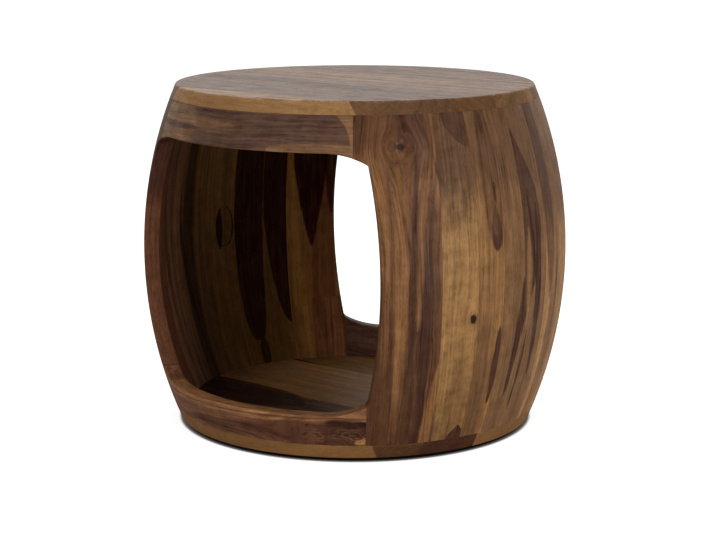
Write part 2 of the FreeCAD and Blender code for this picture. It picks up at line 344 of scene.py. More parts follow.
class NodeSheet:
    """A material's node tree, with a short call for each node that the finishes use."""

    def __init__(self, name: str) -> None:
        """Starts a material with one Principled shader."""
        self.material = bpy.data.materials.new(name)
        self.material.use_nodes = True
        self.tree = self.material.node_tree
        self.shader = next(n for n in self.tree.nodes if n.type == "BSDF_PRINCIPLED")

    def put(self, socket: Socket, value: Value | Colour) -> None:
        """Wires a socket to another, or sets its number or colour."""
        if isinstance(value, Socket):
            self.tree.links.new(value, socket)
        elif isinstance(value, tuple):
            socket.default_value = (*value, 1.0)
        else:
            socket.default_value = value

    def dress(self, name: str, value: Value | Colour) -> None:
        """Wires or sets one of the shader's sockets."""
        self.put(self.shader.inputs[name], value)

    def place(self) -> Socket:
        """Place on the object, in metres."""
        return self.tree.nodes.new("ShaderNodeTexCoord").outputs["Object"]

    def parts(self, vector: Socket) -> list[Socket]:
        """The three numbers of a vector."""
        node = self.tree.nodes.new("ShaderNodeSeparateXYZ")
        self.put(node.inputs[0], vector)
        return list(node.outputs)

    def calc(self, operation: str, *values: Value, clamp: bool = False) -> Socket:
        """Number worked out from up to three others.

        Args:
            operation: The Math node's operation.
            values: Numbers or sockets.
            clamp: True to keep the result between 0 and 1.

        Returns:
            The result's socket.
        """
        node = self.tree.nodes.new("ShaderNodeMath")
        node.operation = operation
        node.use_clamp = clamp
        for socket, value in zip(node.inputs, values):
            self.put(socket, value)
        return node.outputs[0]

    def times(self, first: Value, second: Value) -> Socket:
        """Product of two numbers."""
        return self.calc("MULTIPLY", first, second)

    def fit(self, value: Value, factor: Value, offset: Value, clamp: bool = False) -> Socket:
        """Number times a factor, plus an offset."""
        return self.calc("MULTIPLY_ADD", value, factor, offset, clamp=clamp)

    def step(self, value: Value, low: Value, high: Value) -> Socket:
        """Smooth step from 0 at one value to 1 at another."""
        node = self.tree.nodes.new("ShaderNodeMapRange")
        node.interpolation_type = "SMOOTHSTEP"
        self.put(node.inputs["Value"], value)
        self.put(node.inputs["From Min"], low)
        self.put(node.inputs["From Max"], high)
        return node.outputs["Result"]

    def vector(self, x: Value, y: Value, z: Value) -> Socket:
        """Vector of three numbers."""
        node = self.tree.nodes.new("ShaderNodeCombineXYZ")
        for socket, value in zip(node.inputs, (x, y, z)):
            self.put(socket, value)
        return node.outputs[0]

    def noise(self, place: Socket, detail: float, rough: float = 0.5) -> Socket:
        """Smooth noise about 0.5, one cell to a unit of the place given."""
        node = self.tree.nodes.new("ShaderNodeTexNoise")
        self.put(node.inputs["Vector"], place)
        self.put(node.inputs["Scale"], 1.0)
        self.put(node.inputs["Detail"], detail)
        self.put(node.inputs["Roughness"], rough)
        return node.outputs["Fac"]

    def mix(self, share: Value, first: Value | Colour, second: Value | Colour) -> Socket:
        """Colour between two others."""
        node = self.tree.nodes.new("ShaderNodeMix")
        node.data_type = "RGBA"
        for socket, value in zip(MIX_INPUTS, (share, first, second)):
            self.put(node.inputs[socket], value)
        return node.outputs[MIX_RESULT]

    def scaled(self, vector: Socket, factor: Value) -> Socket:
        """Place or colour times a factor."""
        node = self.tree.nodes.new("ShaderNodeVectorMath")
        node.operation = "SCALE"
        self.put(node.inputs[0], vector)
        self.put(node.inputs["Scale"], factor)
        return node.outputs[0]

    def bump(self, height: Value, strength: float, distance: float) -> None:
        """Gives the shader a bumped normal, with its depth in metres."""
        node = self.tree.nodes.new("ShaderNodeBump")
        self.put(node.inputs["Strength"], strength)
        self.put(node.inputs["Distance"], distance)
        self.put(node.inputs["Height"], height)
        self.dress("Normal", node.outputs["Normal"])


@dataclass(frozen=True)
class Weave:
    """A noise that is drawn out along the grain, with a shift that tells it from the others."""

    cell: float
    length: float
    shift: float
    detail: float
    rough: float = 0.5


# What the grain is woven of, in millimetres across and along it
BEND = Weave(80, 320, shift=3.1, detail=1)
RIPPLE = Weave(17, 70, shift=17.7, detail=3)
THREAD = Weave(1.6, 60, shift=61, detail=1)
TATTER = Weave(6, 38, shift=67, detail=2)
FIBRE = Weave(0.9, 45, shift=31, detail=2)
MOTTLE = Weave(16, 26, shift=41, detail=2)
PORE = Weave(0.55, 9, shift=53, detail=1)
STREAK = Weave(3.2, 150, shift=71, detail=2)
VEIN = Weave(5.5, 300, shift=83, detail=1.5)
CURL = Weave(13, 11, shift=97, detail=3, rough=0.6)
FLECK = Weave(1.3, 13, shift=103, detail=1.5)


class BoardSheet(NodeSheet):
    """A board's node tree, which knows each point's place across, along and into the board.

    The swayed place across follows the trunk's growth, and the ragged number, from -1 to 1, says how
    far the fibres draw a figure's edge in or out. The timber sets both.
    """

    def __init__(self, name: str, seed: float) -> None:
        """Starts the material and reads the board's own attribute.

        Args:
            name: The material's name.
            seed: Offset that tells this board's noises from another's.
        """
        super().__init__(name)
        self.seed = seed
        grain = self.tree.nodes.new("ShaderNodeAttribute")
        grain.attribute_name = GRAIN
        self.across, self.along, self.depth = self.parts(grain.outputs["Vector"])
        self.swayed: Value = self.across
        self.ragged: Value = 0.0

    def woven(self, weave: Weave, across: Value) -> Socket:
        """A weave's noise, read at a place across the board.

        Args:
            weave: The noise's sizes.
            across: Place across the board, plain or swayed.

        Returns:
            A number about 0.5.
        """
        moved = self.calc("ADD", self.calc("DIVIDE", self.along, weave.length), self.seed + weave.shift)
        side = self.calc("DIVIDE", across, weave.cell)
        inward = self.calc("DIVIDE", self.depth, weave.cell)
        return self.noise(self.vector(side, moved, inward), weave.detail, weave.rough)


@dataclass(frozen=True)
class Flame:
    """Heartwood that runs to a point along the grain, placed on its board in millimetres; one on the left
    front jamb stave is painted shade.
    """

    low: float
    high: float
    across: float
    width: float
    lean: float = 0.0
    fullest: float = 0.5
    blunt: float = 0.75
    strength: float = 0.9
    rim: float = 0.0
    soft: float = 1.2
    sway: float = 5.0
    fray: float = 1.6
    tone: Tone = Tone.HEART


@dataclass(frozen=True)
class Knot:
    """Where a branch left the trunk: rings that turn the grain around them."""

    across: float
    along: float
    radius: float
    dark: float = 0.7
    stretch: float = 1.7
    ring: float = 0.4
    core: float = 1.0
    light: float = 0.5
    wander: float = 2.6


# Growth layers: the tones at which they turn brown and to heartwood, and their sizes
BROWN_TONES = (0.64, 0.34)
HEART_LIMIT = 0.30
HEART_SPREAD = 0.36
HEART_EDGE = 0.05
HEART_COVER = 0.8
LAYER_LENGTH = 1400.0
BROAD_SHARE = 0.78
FINE_SHARE = 0.22
FINE_LAYERS = 6
# Figures: how far fibres draw them out and how dark their cores are
CROWN_RAGGED = 30.0
THREAD_SHARE = 0.45
TATTER_SHARE = 0.55
BLACK_SHARE = 3
FLAME_STREAKS = (0.2, 0.95)
FLAME_TIP = 0.01
KNOT_REACH = 1.5
KNOT_PULL = 0.85
KNOT_CELL = 7.0
KNOT_FADE = 0.3
RING_DARK = (0.4, 0.5)
RING_PALE = (-0.5, 0.5)
KNOT_CORE = (0.62, 0.42)
# The rounds' rims and end grain: depths in millimetres and how far they are calmed
RIM_LAYERS = (1.0, 4.0)
RIM_LAYERS_CALM = 0.6
RIM_FIBRES = (0.5, 2.0)
RIM_FIBRES_CALM = 0.65
END_FACING = (0.55, 0.9)
# The surface: steps and depths of tone of its fibres, pores and the paler band along the eased edges
PORE_STEP = (0.6, 0.7)
LINE_STEP = (0.58, 0.68)
FIBRE_TONE = 0.5
MOTTLE_TONE = 0.7
STREAK_TONE = 0.8
PORE_TONE = 0.3
EDGE_PALE_FROM = (0.1, 0.5)
EDGE_PALE_TO = (4.0, 1.5)
EDGE_PALE_SHARE = 0.15
FIBRE_ROUGH = 0.12
PORE_ROUGH = 0.2
DULL_SHARE = 0.85
GLINT_STREAK = 1.4
GLINT_MIDDLE = 1.2
GLINT_LEAST = 0.3
PORE_BUMP = 0.35
PORE_DEPTH = 0.15 * MM


@dataclass(frozen=True)
class Timber:
    """The wood of one board, a solid pattern of growth layers cut by the board's faces."""

    pale: Colour
    brown: Colour
    heart: Colour
    seed: float
    heart_share: float = 0.12
    contrast: float = 0.8
    crown: float = 0.0
    crown_low: float = 320.0
    crown_high: float = 385.0
    band: float = 13.0
    pith_across: float = 60.0
    pith_depth: float = 90.0
    pith_along: float = 200.0
    tilt: float = 0.06
    sway: float = 22.0
    gloss: float = 0.5
    sheen: float = 0.13
    glow: Colour = (1.0, 1.0, 1.0)
    end_dark: float = 0.0
    curl: float = 0.3
    figure: float = 1.25
    vein: float = 0.12
    fleck: float = 0.3
    dull_from: float = 10.0
    dull_to: float = 19.0
    flames: tuple[Flame, ...] = ()
    knots: tuple[Knot, ...] = ()

    @property
    def black(self) -> Colour:
        """Colour of a figure's rim or a knot's core."""
        red, green, blue = self.heart
        return red / BLACK_SHARE, green / BLACK_SHARE, blue / BLACK_SHARE

    def material(self, name: str) -> bpy.types.Material:
        """Makes the board's material.

        Args:
            name: The material's name.

        Returns:
            The material, which reads the board's grain attribute.
        """
        sheet = BoardSheet(name, self.seed)
        sheet.swayed = self.swayed(sheet)
        sheet.ragged = self.ragged(sheet)
        colour = self.ground(sheet)
        for flame in self.flames:
            colour = self.with_flame(sheet, colour, flame)
        for knot in self.knots:
            colour = self.with_knot(sheet, colour, knot)
        self.surface(sheet, colour)
        return sheet.material

    def swayed(self, sheet: BoardSheet) -> Socket:
        """Place across the board, swayed along the grain as the trunk grew, and pulled round its knots."""
        bend = sheet.fit(sheet.woven(BEND, sheet.across), self.sway, -self.sway / 2)
        ripple = sheet.fit(sheet.woven(RIPPLE, sheet.across), self.sway / 3, -self.sway / 6)
        moved = sheet.calc("ADD", sheet.across, sheet.calc("ADD", bend, ripple))
        for knot in self.knots:
            reach = KNOT_REACH * knot.radius
            side = sheet.calc("SUBTRACT", sheet.across, knot.across)
            aside = sheet.calc("DIVIDE", side, reach)
            rise = sheet.calc("DIVIDE", sheet.calc("SUBTRACT", sheet.along, knot.along), reach * knot.stretch)
            squares = sheet.fit(aside, aside, sheet.times(rise, rise))
            pull = sheet.calc("POWER", sheet.calc("ADD", squares, 1.0), -2.0)
            moved = sheet.fit(sheet.times(side, pull), -KNOT_PULL, moved)
        return moved

    def ragged(self, sheet: BoardSheet) -> Socket:
        """How far the fibres draw a figure's edge in or out, from -1 to 1."""
        broad = sheet.times(sheet.woven(TATTER, sheet.across), TATTER_SHARE)
        both = sheet.fit(sheet.woven(THREAD, sheet.across), THREAD_SHARE, broad)
        return sheet.fit(both, 4.0, -2.0)

    def layers(self, sheet: BoardSheet) -> Socket:
        """Tone of the growth layers, by distance from the trunk's pith.

        Args:
            sheet: The board's nodes.

        Returns:
            A number about 0.5, low in dark layers.
        """
        rise = sheet.fit(sheet.along, self.tilt, self.pith_depth - self.tilt * self.pith_along)
        inward = sheet.calc("ADD", sheet.depth, rise)
        aside = sheet.calc("SUBTRACT", sheet.swayed, self.pith_across)
        ring = sheet.calc("SQRT", sheet.fit(aside, aside, sheet.times(inward, inward)))
        slow = sheet.calc("DIVIDE", sheet.along, LAYER_LENGTH)
        wide = sheet.calc("DIVIDE", ring, self.band)
        narrow = sheet.calc("DIVIDE", ring, self.band / FINE_LAYERS)
        broad = sheet.noise(sheet.vector(wide, slow, self.seed), 3.0, 0.6)
        fine = sheet.noise(sheet.vector(narrow, slow, self.seed + 9), 2.0)
        return sheet.fit(fine, FINE_SHARE, sheet.times(broad, BROAD_SHARE))

    def ground(self, sheet: BoardSheet) -> Socket:
        """Colour under the board's figures: its growth layers, and browner towards its upper end where it has
        a crown.

        Args:
            sheet: The board's nodes.

        Returns:
            The colour.
        """
        tone = self.layers(sheet)
        limit = HEART_LIMIT + HEART_SPREAD * self.heart_share
        heart = sheet.step(tone, limit + HEART_EDGE, limit - HEART_EDGE)
        browned = sheet.times(sheet.step(tone, *BROWN_TONES), self.contrast)
        if self.end_dark:
            calm = sheet.fit(sheet.step(sheet.depth, *RIM_LAYERS), -RIM_LAYERS_CALM, 1.0)
            middle = self.contrast / 2
            heart = sheet.times(heart, calm)
            browned = sheet.fit(sheet.calc("SUBTRACT", browned, middle), calm, middle)
        # Browner towards the board's upper end, from crown_low up to crown_high
        if self.crown:
            place = sheet.fit(sheet.ragged, CROWN_RAGGED, sheet.along)
            upper = sheet.times(sheet.step(place, self.crown_low, self.crown_high), self.crown)
            browned = sheet.calc("MAXIMUM", browned, upper)
        colour = sheet.mix(browned, self.pale, self.brown)
        if self.heart_share:
            colour = sheet.mix(sheet.times(heart, HEART_COVER), colour, self.heart)
        return colour

    def with_flame(self, sheet: BoardSheet, colour: Value, flame: Flame) -> Socket:
        """Lays a flame of heartwood over the board's colour; one flame on the left front jamb stave stands
        for painted shade.

        Args:
            sheet: The board's nodes.
            colour: The colour so far.
            flame: The flame.

        Returns:
            The new colour.
        """
        length = flame.high - flame.low
        share = sheet.fit(sheet.along, 1 / length, -flame.low / length, clamp=True)
        skewed = sheet.calc("POWER", share, math.log(0.5) / math.log(flame.fullest))
        bulge = sheet.times(skewed, sheet.calc("SUBTRACT", 1.0, skewed))
        rounded = sheet.calc("POWER", sheet.times(bulge, 4.0), flame.blunt)
        width = sheet.times(rounded, flame.width / 2)
        wander = sheet.times(sheet.calc("SUBTRACT", sheet.swayed, sheet.across), flame.sway / self.sway)
        line = sheet.fit(share, flame.lean, flame.across)
        aside = sheet.calc("SUBTRACT", sheet.calc("ADD", sheet.across, wander), line)
        clear = sheet.calc("SUBTRACT", width, sheet.calc("ABSOLUTE", aside))
        inside = sheet.fit(sheet.ragged, flame.fray, clear)
        streaked = sheet.fit(sheet.ragged, *FLAME_STREAKS, clamp=True)
        mask = sheet.times(sheet.step(inside, -flame.soft, flame.soft), flame.strength)
        within = sheet.step(bulge, 0.0, FLAME_TIP)
        mask = sheet.times(sheet.times(mask, streaked), within)
        colour = sheet.mix(mask, colour, getattr(self, flame.tone.value))
        if flame.rim:
            edge = sheet.step(sheet.calc("ABSOLUTE", inside), 2 * flame.soft, 0.0)
            edge = sheet.times(sheet.times(edge, within), flame.rim)
            colour = sheet.mix(edge, colour, self.black)
        return colour

    def with_knot(self, sheet: BoardSheet, colour: Value, knot: Knot) -> Socket:
        """Lays a knot over the board's colour.

        Args:
            sheet: The board's nodes.
            colour: The colour so far.
            knot: The knot.

        Returns:
            The new colour.
        """
        side = sheet.calc("SUBTRACT", sheet.across, knot.across)
        rise = sheet.calc("DIVIDE", sheet.calc("SUBTRACT", sheet.along, knot.along), knot.stretch)
        cell = max(KNOT_CELL, knot.radius / 2)
        spot = sheet.vector(sheet.calc("DIVIDE", side, cell), sheet.calc("DIVIDE", rise, cell), self.seed)
        squares = sheet.fit(side, side, sheet.times(rise, rise))
        gap = knot.radius * knot.ring
        reach = sheet.fit(sheet.noise(spot, 2.0), knot.wander * gap, sheet.calc("SQRT", squares))
        rings = sheet.calc("SINE", sheet.times(reach, math.tau / gap))
        fade = sheet.step(reach, knot.radius, knot.radius * KNOT_FADE)
        ringed = sheet.calc("MULTIPLY", fade, sheet.fit(rings, *RING_DARK), clamp=True)
        colour = sheet.mix(sheet.times(ringed, knot.dark), colour, self.heart)
        paler = sheet.times(fade, sheet.fit(rings, *RING_PALE))
        colour = sheet.mix(sheet.times(paler, knot.light * knot.dark), colour, self.pale)
        core_from, core_to = (share * knot.radius for share in KNOT_CORE)
        core = sheet.times(sheet.step(reach, core_from, core_to), knot.core)
        return sheet.mix(core, colour, self.black)

    def end_shade(self, sheet: BoardSheet) -> Socket:
        """How much light a plank's open end grain, which faces along X, gives back."""
        normal = sheet.tree.nodes.new("ShaderNodeTexCoord").outputs["Normal"]
        facing = sheet.calc("ABSOLUTE", sheet.parts(normal)[0])
        return sheet.fit(sheet.step(facing, *END_FACING), -self.end_dark, 1.0)

    def surface(self, sheet: BoardSheet, colour: Value) -> None:
        """Adds fibres, pores, the oiled sheen and a paler band along the eased edges, and wires the shader.

        Args:
            sheet: The board's nodes.
            colour: The board's colour.
        """
        weaves = (FIBRE, MOTTLE, STREAK, CURL, PORE, VEIN, FLECK)
        woven = [sheet.woven(weave, sheet.swayed) for weave in weaves]
        fibre, mottle, streak, curl, pore, vein, fleck = woven
        pore = sheet.step(pore, *PORE_STEP)
        vein = sheet.step(vein, *LINE_STEP)
        fleck = sheet.step(fleck, *LINE_STEP)
        light = sheet.fit(fibre, FIBRE_TONE, 1 - FIBRE_TONE / 2)
        for part, tone in ((curl, self.curl), (mottle, MOTTLE_TONE), (streak, STREAK_TONE * self.figure)):
            light = sheet.calc("ADD", light, sheet.fit(part, tone, -tone / 2))
        for part, tone in ((vein, self.vein), (fleck, self.fleck)):
            light = sheet.times(light, sheet.fit(part, -tone, 1.0))
        if self.end_dark:
            calm = sheet.fit(sheet.step(sheet.depth, *RIM_FIBRES), -RIM_FIBRES_CALM, 1.0)
            light = sheet.fit(sheet.calc("SUBTRACT", light, 1.0), calm, 1.0)
            light = sheet.times(light, self.end_shade(sheet))
        light = sheet.times(light, sheet.fit(pore, -PORE_TONE, 1.0))
        # A paler band along the eased edges, from half a millimetre to a few millimetres in from the face
        pale_edge = sheet.times(sheet.step(sheet.depth, *EDGE_PALE_FROM), sheet.step(sheet.depth, *EDGE_PALE_TO))
        colour = sheet.mix(sheet.times(pale_edge, EDGE_PALE_SHARE), colour, self.pale)
        sheet.dress("Base Color", sheet.scaled(colour, light))
        rough = sheet.fit(fibre, FIBRE_ROUGH, self.gloss - FIBRE_ROUGH / 2)
        sheet.dress("Roughness", sheet.fit(pore, PORE_ROUGH, rough))
        dull = sheet.fit(sheet.step(sheet.depth, self.dull_from, self.dull_to), -DULL_SHARE, 1.0)
        both = sheet.fit(streak, GLINT_STREAK, mottle)
        glint = sheet.fit(both, self.figure, 1.0 - GLINT_MIDDLE * self.figure)
        glint = sheet.calc("MAXIMUM", glint, GLINT_LEAST)
        sheet.dress("Specular Tint", self.glow)
        # The socket keeps the plain level for the export, which drops a linked one
        sheet.dress("Specular IOR Level", self.sheen)
        sheet.dress("Specular IOR Level", sheet.times(glint, sheet.times(dull, self.sheen)))
        sheet.bump(sheet.fit(pore, -1.0, sheet.times(fibre, 0.5)), PORE_BUMP, PORE_DEPTH)


@dataclass(frozen=True)
class Dowel:
    """Plain pale hardwood of the hidden dowels."""

    pale: Colour = tint(205, 170, 125)
    brown: Colour = tint(172, 132, 90)
    fibres_per_metre: float = 600.0

    def material(self, name: str) -> bpy.types.Material:
        """Makes the wood, with fine fibres and flecks."""
        sheet = NodeSheet(name)
        fibre = sheet.noise(sheet.scaled(sheet.place(), self.fibres_per_metre), 3.0, 0.6)
        sheet.dress("Base Color", sheet.mix(fibre, self.brown, self.pale))
        sheet.dress("Roughness", sheet.fit(fibre, 0.2, 0.6))
        sheet.bump(fibre, 0.3, 0.1 * MM)
        return sheet.material


@dataclass(frozen=True)
class Plastic:
    """Moulded plastic of the glides."""

    colour: Colour = tint(46, 42, 40)
    sparks_per_metre: float = 2500.0
    scuffs_per_metre: float = 180.0

    def material(self, name: str) -> bpy.types.Material:
        """Makes the plastic, with the fine texture of a mould and scuffs on its foot."""
        sheet = NodeSheet(name)
        place = sheet.place()
        spark = sheet.noise(sheet.scaled(place, self.sparks_per_metre), 2.0)
        scuff = sheet.noise(sheet.scaled(place, self.scuffs_per_metre), 4.0, 0.65)
        light = tuple(part * 2.2 for part in self.colour)
        sheet.dress("Base Color", sheet.mix(sheet.step(scuff, 0.55, 0.75), self.colour, light))
        sheet.dress("Roughness", sheet.fit(spark, 0.2, 0.45))
        sheet.bump(spark, 0.3, 0.05 * MM)
        return sheet.material


@dataclass(frozen=True)
class Steel:
    """Bright steel of the glides' nails."""

    colour: Colour = tint(178, 178, 182)
    marks_per_metre: float = 1800.0

    def material(self, name: str) -> bpy.types.Material:
        """Makes the steel, with the turned marks of a nail's head."""
        sheet = NodeSheet(name)
        marks = sheet.noise(sheet.scaled(sheet.place(), self.marks_per_metre), 3.0, 0.6)
        dull = tuple(part * 0.6 for part in self.colour)
        sheet.dress("Base Color", sheet.mix(marks, dull, self.colour))
        sheet.dress("Roughness", sheet.fit(marks, 0.25, 0.25))
        sheet.dress("Metallic", 1.0)
        sheet.bump(marks, 0.2, 0.03 * MM)
        return sheet.material


def thickened(mesh: Mesh, thickness: float) -> None:
    """Gives a flat outline its thickness, away from the viewer of its face."""
    made = bmesh.ops.extrude_face_region(mesh, geom=list(mesh.faces))
    moved = only(bmesh.types.BMVert, made["geom"])
    bmesh.ops.translate(mesh, verts=moved, vec=(0.0, thickness, 0.0))
    bmesh.ops.recalc_face_normals(mesh, faces=list(mesh.faces))


def eased(mesh: Mesh, edges: Sequence[bmesh.types.BMEdge], ease: float, segments: int) -> None:
    """Rounds edges over by a length."""
    bmesh.ops.bevel(
        mesh, geom=list(edges), offset=ease, offset_type="OFFSET", affect="EDGES",
        segments=segments, profile=0.5, material=-1, clamp_overlap=True,
    )


def sliced(mesh: Mesh, axis: int, step: float) -> None:
    """Cuts a board across into strips no wider than a step, so that it bends smoothly.

    Args:
        mesh: The board.
        axis: 0 to cut across X, 2 to cut across Z.
        step: Greatest width of a strip.
    """
    places = [vert.co[axis] for vert in mesh.verts]
    low, high = min(places), max(places)
    count = math.ceil((high - low) / step)
    normal = Vector((0.0, 0.0, 0.0))
    normal[axis] = 1.0
    for index in range(1, count):
        spot = normal * (low + (high - low) * index / count)
        geometry = [*mesh.verts, *mesh.edges, *mesh.faces]
        bmesh.ops.bisect_plane(mesh, geom=geometry, dist=SLICE_SNAP, plane_co=spot, plane_no=normal)


def publish(mesh: Mesh, node: str, material: bpy.types.Material) -> None:
    """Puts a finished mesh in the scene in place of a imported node.

    Args:
        mesh: The mesh, in metres, which is freed.
        node: The node that it stands for, which also names it.
        material: Its material.
    """
    bmesh.ops.dissolve_degenerate(mesh, edges=list(mesh.edges), dist=WELD)
    mesh.normal_update()
    bmesh.ops.recalc_face_normals(mesh, faces=list(mesh.faces))
    data = bpy.data.meshes.new(f"{node}_dressed")
    mesh.to_mesh(data)
    mesh.free()
    data.shade_smooth()
    data.set_sharp_from_angle(angle=math.radians(SHARP_FROM))
    data.materials.append(material)
    piece = bpy.data.objects.new(f"{node}_dressed", data)
    bpy.context.scene.collection.objects.link(piece)
    weighted = piece.modifiers.new("weighted_normals", "WEIGHTED_NORMAL")
    weighted.keep_sharp = True
    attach(piece, BODY)
    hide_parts(node)
    log.info("%s: %d faces", piece.name, len(data.polygons))


@dataclass(frozen=True)
class Turn:
    """How a board's drawing lies round the barrel: where its middle starts, and which way it turns."""

    start: float
    sense: float = 1.0

    def angle(self, drawn: float) -> float:
        """Angle round the barrel of an angle on the drawing."""
        return self.start + self.sense * drawn


@dataclass
class Wall:
    """The staves and rails between the base and the top."""

    barrel: Barrel
    opening: Opening
    bottom: float
    top: float
    lintel_seam: float = 37.3
    sill_seam: float = 40.9
    right_seams: tuple[float, ...] = (60.0, 70.5, 79.0, 87.0, 97.5, 108.0, 120.0)
    left_seams: tuple[float, ...] = (60.0, 73.5, 82.5, 100.5, 111.5, 119.5)
    foot_seam: float = 127.5
    foot_top: float = 112.5
    arris: float = 2.6
    seam_ease: float = 0.45
    strip_height: float = 9.0
    strip_width: float = 6.0
    timbers: dict[str, Timber] = field(default_factory=dict)

    def build(self) -> None:
        """Builds every stave and rail."""
        walls = (("right_stave", 1.0, self.right_seams), ("left_stave", -1.0, self.left_seams))
        for name, sense, seams in walls:
            front = Turn(0.0, sense)
            rear = Turn(sense * HALF_TURN, -sense)
            last = HALF_TURN - seams[-1]
            self.finish(self.jamb_stave(seams[0]), f"{name}_1", front)
            for number, (start, end) in enumerate(zip(seams[:-1], seams[1:]), start=2):
                self.finish(self.plain_stave(start, end), f"{name}_{number}", front)
            blank = self.jamb_stave(last) if sense > 0 else self.jamb_stave_over_foot(last)
            self.finish(blank, f"{name}_{len(seams) + 1}", rear)
        self.finish(self.foot(), "left_stave_foot", Turn(-HALF_TURN))
        for name, facing in (("front", 0.0), ("rear", HALF_TURN)):
            self.finish(self.lintel(), f"{name}_lintel", Turn(facing), Along.ROUND)
            self.finish(self.sill(), f"{name}_sill", Turn(facing), Along.ROUND)

    def plain_stave(self, start: float, end: float) -> Mesh:
        """Outline of a stave between two seams."""
        left, right = (self.barrel.belly * math.radians(angle) for angle in (start, end))
        pencil = Pencil(left, self.top)
        pencil.line(right, self.top)
        pencil.line(right, self.bottom)
        pencil.line(left, self.bottom)
        return pencil.closed()

    def jamb_stave(self, outer_seam: float) -> Mesh:
        """Outline of a stave whose free edge is a jamb, with both shoulders."""
        opening = self.opening
        jamb_end = opening.corner()[2]
        pencil = self.below_lintel()
        opening.draw_jamb(pencil, jamb_end, -jamb_end)
        opening.draw_lower(pencil, self.sill_seam)
        pencil.line(opening.across(self.sill_seam), self.bottom)
        return self.back_to_top(pencil, outer_seam)

    def jamb_stave_over_foot(self, outer_seam: float) -> Mesh:
        """Outline of the jamb stave that stands on the foot block."""
        opening = self.opening
        pencil = self.below_lintel()
        opening.draw_jamb(pencil, opening.corner()[2], opening.jamb_turn_at(self.foot_top))
        inner = opening.across(HALF_TURN - self.foot_seam)
        pencil.line(inner, self.foot_top)
        pencil.line(inner, self.bottom)
        return self.back_to_top(pencil, outer_seam)

    def below_lintel(self) -> Pencil:
        """Starts a jamb stave's outline: down the lintel's seam and round the upper corner."""
        opening = self.opening
        pencil = Pencil(opening.across(self.lintel_seam), self.top)
        pencil.line(opening.across(self.lintel_seam), opening.shoulder_height(self.lintel_seam))
        opening.draw_upper(pencil, self.lintel_seam)
        return pencil

    def back_to_top(self, pencil: Pencil, outer_seam: float) -> Mesh:
        """Ends a jamb stave's outline: along its foot and up its outer seam."""
        pencil.line(self.opening.across(outer_seam), self.bottom)
        pencil.line(self.opening.across(outer_seam), self.top)
        return self.opening.unrolled(pencil)

    def foot(self) -> Mesh:
        """Outline of the block under the rear left jamb stave."""
        opening = self.opening
        turn = opening.jamb_turn_at(self.foot_top)
        start = opening.jamb_x + opening.jamb_bow * math.cos(math.radians(turn))
        outer = opening.across(HALF_TURN - self.foot_seam)
        pencil = Pencil(start, self.foot_top)
        opening.draw_jamb(pencil, turn, -opening.corner()[2])
        opening.draw_lower(pencil, self.sill_seam)
        pencil.line(opening.across(self.sill_seam), self.bottom)
        pencil.line(outer, self.bottom)
        pencil.line(outer, self.foot_top)
        return opening.unrolled(pencil)

    def rail(self, seam: float, edge: float) -> Mesh:
        """Outline of a rail between its end seams, drawn as a lintel up to its upper edge."""
        opening = self.opening
        end = opening.across(seam)
        sweep = opening.shoulder_turn(seam) - HALF_TURN / 2
        pencil = Pencil(-end, edge)
        pencil.line(end, edge)
        pencil.line(end, opening.shoulder_height(seam))
        pencil.arc(opening.shoulder_x, opening.shoulder_z, sweep, opening.step)
        pencil.line(-opening.shoulder_x, opening.lintel_bottom, free=True)
        pencil.arc(-opening.shoulder_x, opening.shoulder_z, sweep, opening.step)
        return opening.unrolled(pencil)

    def lintel(self) -> Mesh:
        """Outline of a lintel."""
        return self.rail(self.lintel_seam, self.top)

    def sill(self) -> Mesh:
        """Outline of a sill, which is a lintel turned over."""
        mirror = 2 * self.opening.middle
        mesh = self.rail(self.sill_seam, mirror - self.bottom)
        turned_over = Matrix.Translation((0.0, 0.0, mirror)) @ Matrix.Diagonal((1.0, 1.0, -1.0, 1.0))
        bmesh.ops.transform(mesh, matrix=turned_over, verts=list(mesh.verts))
        return mesh

    def finish(self, mesh: Mesh, node: str, turned: Turn, along: Along = Along.UPRIGHT) -> None:
        """Makes a board from its outline and bends it round the barrel.

        Args:
            mesh: The outline, laid out round the belly.
            node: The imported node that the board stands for.
            turned: How the outline lies round the barrel.
            along: Which way its grain runs.
        """
        thickened(mesh, self.barrel.wall_at_belly)
        eased(mesh, [edge for edge in mesh.edges if edge.seam], self.arris, ARRIS_SEGMENTS)
        square = [edge for edge in mesh.edges if edge.calc_face_angle(0.0) > math.radians(SQUARE_FROM)]
        eased(mesh, square, self.seam_ease, SEAM_SEGMENTS)
        sliced(mesh, 0, self.strip_width)
        sliced(mesh, 2, self.strip_height)
        self.bend(mesh, turned, along)
        publish(mesh, node, self.timbers[node].material(f"{node}_wood"))

    def bend(self, mesh: Mesh, turned: Turn, along: Along) -> None:
        """Bends a flat board round the barrel, and keeps its flat places as its grain."""
        belly = self.barrel.belly
        thickness = self.barrel.wall_at_belly
        grain = mesh.verts.layers.float_vector.new(GRAIN)
        angles = [turned.angle(math.degrees(vert.co.x / belly)) for vert in mesh.verts]
        middle = (min(angles) + max(angles)) / 2
        for vert, angle in zip(mesh.verts, angles):
            side = math.radians(angle - middle) * belly
            depth, height = vert.co.y, vert.co.z
            vert[grain] = (side, height, depth) if along is Along.UPRIGHT else (height, side, depth)
            vert.co = self.barrel.place(angle, height, depth / thickness)


